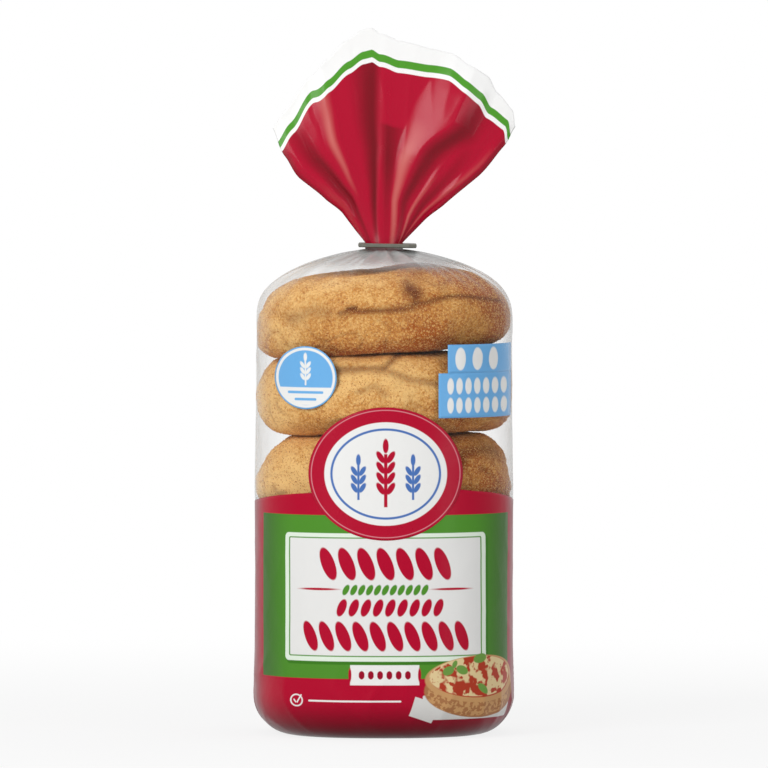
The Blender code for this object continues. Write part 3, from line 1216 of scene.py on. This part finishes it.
def labels() -> tuple[Label, ...]:
    """The three labels printed on the window."""
    x, z = 0.6, 92.4
    # The roundel's thin pink outer ring is a painted highlight round its rim.
    roundel = (
        oval(Ink.RIM_HIGHLIGHT, x, z, 26.1, 22.2), oval(Ink.RED, x, z, 25.8, 21.9),
        oval(Ink.WHITE, x, z, 21.4, 17.9), oval(Ink.BLUE, x, z, 19.3, 15.8),
        oval(Ink.WHITE, x, z, 18.5, 15.0),
        *wheat_ear(Ink.RED, x, z, 23.0, 4),
        *wheat_ear(Ink.BLUE, x - 9.5, z - 1.5, 15.0, 3),
        *wheat_ear(Ink.BLUE, x + 9.5, z - 1.5, 15.0, 3),
    )
    x, z = -27.4, 125.5
    badge = (
        oval(Ink.WHITE, x, z, 10.4, 10.4), oval(Ink.SKY, x, z, 9.5, 9.5),
        *(bar(Ink.WHITE, x - half, x + half, z - down - 0.55, z - down + 0.55)
          for down, half in ((down, math.sqrt(9.9 ** 2 - down ** 2)) for down in LOWER_CHORDS)),
        bar(Ink.SKY, x - 6.2, x + 6.2, z - 5.5, z - 4.6, corner=0.4),
        bar(Ink.SKY, x - 3.8, x + 3.8, z - 7.9, z - 7.0, corner=0.4),
        *wheat_ear(Ink.WHITE, x, z + 2.7, 10.6, 3),
    )
    flag = (
        oval(Ink.WHITE, 26.6, 132.0, 1.8, 3.9), oval(Ink.WHITE, 32.6, 132.0, 1.8, 3.9),
        oval(Ink.WHITE, 38.2, 132.0, 1.6, 3.9),
        grain_row(Ink.WHITE, 21.6, 43.4, 119.8, 125.4, 7, 0.0),
        grain_row(Ink.WHITE, 21.6, 43.4, 113.2, 118.6, 7, 0.0),
    )
    return (
        Label("label_roundel", ((-26.35, 27.55, 69.35, 115.45),), Ink.RED, roundel, True),
        Label("label_badge", ((-38.3, -16.5, 114.6, 136.4),), Ink.SKY, badge, True),
        Label("label_flag", ((22.2, 44.4, 127.1, 137.0), (19.0, 44.4, 111.6, 127.1)), Ink.SKY, flag,
              False),
    )


@dataclass(frozen=True)
class Fold:
    """A fold or dimple in a muffin's side: a line of (x, z) points in millimetres on its front."""

    points: Line
    depth: float
    width: float

    def pull(self, x: float, z: float) -> float:
        """How strongly the fold acts at a place on the front, from 0 to 1."""
        here = Vector((x, z))
        nearest = 1e9
        for start, end in zip(self.points, self.points[1:] or self.points):
            first, last = Vector(start), Vector(end)
            run = last - first
            share = 0.0
            if run.length_squared:
                share = max(0.0, min(1.0, (here - first).dot(run) / run.length_squared))
            nearest = min(nearest, (first + run * share - here).length)
        return hump(nearest, self.width)


@dataclass(frozen=True)
class Muffin:
    """One English muffin: a thick griddled disc with soft sides, folds and a dusting."""

    name: str
    bottom: float
    top: float
    seed: float
    radius: float = 44.6
    rim: float = 15.0
    tilt: float = 0.0
    shift: Spot = (0.0, 0.0)
    folds: tuple[Fold, ...] = ()
    crown: Line = line(0, 0)
    lump: float = 1.0
    toast_and_shade: float = 0.0
    open_top: bool = False
    profile_steps: int = 84
    turn_steps: int = 330

    def profile(self, bm: bmesh.types.BMesh) -> list[Any]:
        """Draws half of the muffin's section as a chain of edges, from its base to its top.

        Args:
            bm: the mesh it is drawn in.

        Returns:
            Its vertices and edges.
        """
        half = (self.top - self.bottom) / 2
        middle = (self.top + self.bottom) / 2
        chain = []
        flat = self.profile_steps // 5
        for step in range(self.profile_steps + 1):
            if step < flat:
                r, z = (self.radius - self.rim) * step / flat, -1.0
            elif step > self.profile_steps - flat:
                r, z = (self.radius - self.rim) * (self.profile_steps - step) / flat, 1.0
            else:
                angle = math.pi * ((step - flat) / (self.profile_steps - 2 * flat) - 0.5)
                r = self.radius - self.rim + self.rim * max(0.0, math.cos(angle)) ** 0.66
                z = math.copysign(abs(math.sin(angle)) ** 0.78, angle)
            chain.append(bm.verts.new((max(r, 0.0), 0.0, middle + half * z)))
        edges = [bm.edges.new(pair) for pair in zip(chain, chain[1:])]
        return chain + edges

    def shape(self, vert: bmesh.types.BMVert) -> tuple[float, float]:
        """Moves one vertex to its uneven place.

        Args:
            vert: the vertex, in millimetres.

        Returns:
            How much shade is painted into its folds, and how toasted it is, with shade painted darker to
            the right, each from 0 to 1.
        """
        x, y, z = vert.co
        middle = (self.top + self.bottom) / 2
        half = (self.top - self.bottom) / 2
        out = Vector((x, y)).length / self.radius
        way = Vector((x, y, (z - middle) * 1.4)) / 20 + Vector((self.seed, self.seed * 0.7, 0.0))
        broad = noise.noise(way)
        medium = noise.noise(way * 2.3 + Vector((5.1, 0.0, 0.0)))
        fine = noise.fractal(way * 7.0, 0.9, 2.1, 4)
        crease = noise.noise(way * 1.25 + Vector((0.0, 9.3, 1.7)))
        where = ease(noise.noise(way * 0.8 + Vector((3.0, 3.0, 3.0))) * 3 + 0.5)
        line = hump(crease, 0.045) * where * ease((out - 0.6) * 4)
        deep = 0.0
        # Painted shade: the crust is darkened along its crease lines and in the folds pressed into its
        # front.
        fold_shade = 0.28 * line
        if y < 0:
            facing = ease(-y / 14)
            for fold in self.folds:
                pull = fold.pull(x, z) * facing
                deep += pull * fold.depth
                fold_shade = max(fold_shade, pull * min(1.0, abs(fold.depth) / 2.2) * (fold.depth > 0))
        side = self.lump * (1.7 * broad + 0.9 * medium + 0.25 * fine) - 0.7 * line - deep
        grow = 1 + side / self.radius * ease(out * 1.3)
        lift = self.lump * (1.0 * noise.noise(way * 0.8) + 0.35 * medium + 0.12 * fine)
        x, y = x * grow + self.shift[0], y * grow + self.shift[1]
        z = z + lift + x * math.tan(math.radians(self.tilt))
        z += read_line(self.crown, x, 0.5) * ease((vert.co.z - middle) / half + 0.35)
        vert.co = self.hold(Vector((x, y, z)))
        level = (z - middle) / half
        # Painted shade: the x term darkens the crust towards its right side, away from the light; the
        # other terms are toasting.
        toast_and_shade = 0.02 + 0.24 * broad + 0.24 * x / self.radius + 0.10 * abs(level) ** 3 - 0.06 * level
        return min(1.0, fold_shade), toast_and_shade + self.toast_and_shade

    def dusted(self, point: Vector) -> float:
        """How thickly grains lie at a point: full on the side, none where muffins touch."""
        out = Vector((point.x, point.y)).length
        clear = ease((out - self.radius + self.rim + 1.0) / 5.0)
        return max(clear, 0.6 if self.open_top and point.z > self.top - 4.0 else 0.0)

    def hold(self, point: Vector) -> Vector:
        """Keeps a point inside the film.

        Args:
            point: the point, in millimetres.

        Returns:
            The point, drawn in where it would reach the film.
        """
        slack = 0.55
        share = FORM.share(min(point.z * MM, FORM.shoulder_foot))
        rise = ((point.z + 1.5) * MM - FORM.shoulder_foot) / FORM.shoulder_height
        if rise > 0:
            share *= (1 - min(rise, 0.999) ** FORM.shoulder_roundness) ** FORM.shoulder_fullness
        width = FORM.half_width / MM * share - slack
        depth = FORM.half_depth / MM * share - slack
        squareness = FORM.squareness
        reach = (abs(point.x / width) ** squareness + abs(point.y / depth) ** squareness)
        reach = reach ** (1 / squareness)
        if reach > 1:
            point = Vector((point.x / reach, point.y / reach, point.z))
        return point

    def build(self, finish: bpy.types.Material) -> bpy.types.Object:
        """Turns, shapes and dresses the muffin.

        Args:
            finish: the crust's material.

        Returns:
            The muffin.
        """
        bm = bmesh.new()
        bmesh.ops.spin(bm, geom=self.profile(bm), cent=(0, 0, 0), axis=(0, 0, 1), dvec=(0, 0, 0),
                       angle=math.tau, steps=self.turn_steps, use_merge=True, use_duplicate=False)
        bmesh.ops.remove_doubles(bm, verts=bm.verts, dist=1e-3)
        bmesh.ops.recalc_face_normals(bm, faces=bm.faces)
        fold_shade_layer = bm.verts.layers.float.new("fold_shade")
        toast_and_shade_layer = bm.verts.layers.float.new("toast_and_shade")
        dust_layer = bm.verts.layers.float.new("dust")
        for vert in bm.verts:
            vert[dust_layer] = self.dusted(vert.co)
            fold_shade, toast_and_shade = self.shape(vert)
            vert[fold_shade_layer] = fold_shade
            vert[toast_and_shade_layer] = toast_and_shade
        bmesh.ops.scale(bm, vec=(MM, MM, MM), verts=bm.verts)
        return link_piece(self.name, finished(bm, self.name), finish, Slot.CRUST)


def muffins() -> tuple[Muffin, ...]:
    """The six muffins, from the lowest to the top one. The lower three are hidden by the print."""
    plain = [
        Muffin(f"muffin_{number + 1}", 0.8 + 25.2 * number, 25.8 + 25.2 * number, 3.0 + number,
               lump=0.4, profile_steps=36, turn_steps=110)
        for number in range(3)
    ]
    third = Muffin(
        "muffin_4", 76.6, 104.8, 11.0, radius=44.6, shift=(-0.4, 0.0), toast_and_shade=-0.03,
        crown=line(-44, -9, -38, -4.5, -31, -0.6, -24, 0, 34, 0, 44, -4),
        folds=(
            Fold(line(22, 92, 28, 99.5, 41, 101), 1.5, 2.2),
            Fold(line(34, 94, 37, 92.5), 0.9, 0.9),
        ))
    second = Muffin(
        "muffin_5", 105.2, 133.2, 27.0, radius=45.0, tilt=0.8, toast_and_shade=-0.03,
        crown=line(-45, -5, -38, -1.8, -31, 0, 45, 0),
        folds=(
            Fold(line(-20, 127.8, -6, 128.8, 0.5, 128.2, 5.5, 134), 1.5, 1.3),
            Fold(line(0.5, 128.2, 10, 124.2, 18, 122.6, 30, 121), 1.2, 1.2),
            Fold(line(-9, 120.5, -3, 122.6, 0.5, 119.5), 0.9, 1.0),
        ))
    first = Muffin(
        "muffin_6", 133.4, 160.8, 42.0, radius=44.8, rim=13.5, tilt=3.2, shift=(0.6, 0.0),
        lump=1.1, open_top=True, toast_and_shade=0.09,
        crown=line(-44, -5, -31, -0.8, -18, 0.6, -4, 0.8, 9, 2.2, 16, 2, 28, -0.8, 36, -2.6, 44, -4.6),
        folds=(
            Fold(line(-16, 148.2, 6, 148.8, 16, 150, 28, 152.4, 41, 153.2), 1.9, 1.0),
            Fold(line(9.4, 154.2, 11.8, 152.4), 5.0, 3.0),
            Fold(line(-13.5, 149.6, -10.8, 149.8), 2.4, 0.8),
            Fold(line(-33, 147, -26, 150.5, -20, 149), 0.9, 2.4),
            Fold(line(-44, 136, -36, 132), -2.4, 8.0),
            Fold(line(0, 141, 34, 144), -1.0, 7.0),
        ))
    return (*plain, third, second, first)


@dataclass
class Dusting:
    """Semolina grains stuck to the crusts that show."""

    grain: float = 0.3 * MM
    per_square_mm: float = 0.88
    seed: int = 5

    def group(self) -> bpy.types.NodeTree:
        """Builds the node group that scatters grains on a crust and makes them one mesh."""
        tree = bpy.data.node_groups.new("dusting", "GeometryNodeTree")
        for name, way in (("Crust", "INPUT"), ("Grains", "OUTPUT")):
            tree.interface.new_socket(name, in_out=way, socket_type="NodeSocketGeometry")
        nodes = Nodes(tree)
        dust = nodes.add("GeometryNodeInputNamedAttribute", {"data_type": "FLOAT"}, {"Name": "dust"})
        density = nodes.math("MULTIPLY", dust.outputs[0], self.per_square_mm / MM ** 2)
        spread = nodes.add("GeometryNodeDistributePointsOnFaces", {},
                           {"Mesh": nodes.add("NodeGroupInput").outputs[0], "Density": density,
                            "Seed": self.seed})
        grain = nodes.add("GeometryNodeMeshUVSphere", {},
                          {"Segments": 3, "Rings": 2, "Radius": self.grain})
        size, turn = (nodes.add("FunctionNodeRandomValue", {"data_type": "FLOAT_VECTOR"},
                                {0: (low,) * 3, 1: (high,) * 3, "Seed": seed}).outputs[0]
                      for low, high, seed in ((0.6, 1.2, self.seed), (0.0, math.tau, self.seed + 1)))
        placed = nodes.add("GeometryNodeInstanceOnPoints", {},
                           {"Points": spread.outputs["Points"], "Instance": grain.outputs[0],
                            "Rotation": turn, "Scale": size})
        joined = nodes.add("GeometryNodeRealizeInstances", {}, {0: placed.outputs[0]})
        nodes.add("NodeGroupOutput", {}, {0: joined.outputs[0]})
        return tree

    def build(self, crusts: Sequence[bpy.types.Object]) -> bpy.types.Object:
        """Scatters the grains over the crusts.

        Args:
            crusts: the muffins that show.

        Returns:
            All the grains as one mesh.
        """
        bm = bmesh.new()
        for crust in crusts:
            bm.from_mesh(crust.data)
        carrier = bpy.data.objects.new("crusts", finished(bm, "crusts"))
        bpy.context.scene.collection.objects.link(carrier)
        modifier = carrier.modifiers.new("dusting", "NODES")
        modifier.node_group = self.group()
        graph = bpy.context.evaluated_depsgraph_get()
        grains = bpy.data.meshes.new_from_object(carrier.evaluated_get(graph))
        bpy.data.objects.remove(carrier, do_unlink=True)
        return link_piece("semolina_grains", grains, DryGrain().material(), Slot.GRAIN)


@dataclass
class Studio:
    """A white room: a pale floor, soft lamps and a long lens."""

    distance: float = 3.6
    elevation: float = 2.0
    aim: Vector = field(default_factory=lambda: Vector((0.0, 0.0, 122.0 * MM)))
    view_width: float = 268.8 * MM
    sensor_mm: float = 36.0
    world_level: float = 0.38
    floor_half: float = 6.0

    def room(self) -> None:
        """Lights the world: white where it is seen or mirrored, softer as a lamp."""
        world = bpy.data.worlds.new("white_room")
        world.use_nodes = True
        nodes = Nodes(world.node_tree)
        nodes.tree.nodes.clear()
        lamp, white = (nodes.add("ShaderNodeBackground", {}, {"Color": (1.0, 1.0, 1.0, 1.0),
                                                              "Strength": level}).outputs[0]
                       for level in (self.world_level, 1.0))
        nodes.add("ShaderNodeOutputWorld", {}, {"Surface": nodes.blend(nodes.seen(), lamp, white)})
        bpy.context.scene.world = world

    def floor(self) -> bpy.types.Object:
        """Lays the pale floor, which keeps a faint shadow."""
        bm = bmesh.new()
        bmesh.ops.create_grid(bm, x_segments=1, y_segments=1, size=self.floor_half)
        mesh = finished(bm, "floor")
        nodes = Finish("matte_white_floor")
        away = nodes.vector("LENGTH", nodes.place())
        white = nodes.remap(away, 0.1, 0.6, 0.84, 1.0, smooth=True)
        matte = nodes.add("ShaderNodeBsdfDiffuse", {}, {"Color": (0.72, 0.72, 0.72, 1.0)})
        glow = nodes.add("ShaderNodeEmission", {}, {"Color": (1.0, 1.0, 1.0, 1.0), "Strength": 1.0})
        part = nodes.math("MULTIPLY", nodes.seen(), white)
        mesh.materials.append(nodes.done(nodes.blend(part, matte.outputs[0], glow.outputs[0])))
        floor = bpy.data.objects.new("floor", mesh)
        bpy.context.scene.collection.objects.link(floor)
        return floor

    def aimed(self, name: str, data: Any, place: Vector) -> bpy.types.Object:
        """Puts a lamp or camera in the room, turned to the bag.

        Args:
            name: its name.
            data: its lamp or camera data.
            place: where it stands.

        Returns:
            The new object.
        """
        made = bpy.data.objects.new(name, data)
        turn = (self.aim - place).to_track_quat("-Z", "Y")
        made.matrix_world = Matrix.Translation(place) @ turn.to_matrix().to_4x4()
        bpy.context.scene.collection.objects.link(made)
        return made

    def lamp(self, name: str, place: Vector, size: Spot, power: float) -> None:
        """Hangs one soft lamp that faces the bag.

        Args:
            name: its name.
            place: where it hangs.
            size: its width and height.
            power: its power in watts.
        """
        data = bpy.data.lights.new(name, "AREA")
        data.shape = "RECTANGLE"
        data.size, data.size_y = size
        data.energy = power
        self.aimed(name, data, place)

    def camera(self) -> None:
        """Sets up the long lens, a little above the bag's middle."""
        data = bpy.data.cameras.new("camera")
        data.sensor_width = self.sensor_mm
        data.lens = self.sensor_mm * self.distance / self.view_width
        data.clip_start = 0.05
        rise = math.radians(self.elevation)
        place = self.aim + Vector((0.0, -math.cos(rise), math.sin(rise))) * self.distance
        bpy.context.scene.camera = self.aimed("camera", data, place)

    def build(self) -> None:
        """Builds the room, its floor, lamps and camera."""
        self.room()
        self.floor()
        self.lamp("key", Vector((-0.75, -1.05, 0.75)), (0.6, 0.8), 11.2)
        self.lamp("fill", Vector((1.0, -0.9, 0.35)), (0.35, 0.9), 3.0)
        self.lamp("top", Vector((0.0, 0.25, 1.2)), (0.9, 0.6), 3.5)
        self.camera()
        bpy.context.scene.view_settings.view_transform = "Standard"


def dress_tag() -> bpy.types.Object:
    """Gives the tag its finish."""
    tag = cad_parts["closure_tag"]
    finish = TagPlastic().material()
    for slot in tag.material_slots:
        slot.material = finish
    return tag


def main() -> None:
    """Builds the pack, piece by piece."""
    logging.basicConfig(level=logging.INFO, format="%(name)s: %(message)s")
    Studio().build()
    crust = BakedCrust().material()
    baked = [muffin.build(crust) for muffin in muffins()]
    pieces = [*baked, Dusting().build(baked[3:]), Window().build(), LowerWrap().build(),
              Fan().build(), dress_tag()]
    pieces += [label.build() for label in labels()]
    for piece in pieces:
        report(piece)


if __name__ == "__main__":
    main()
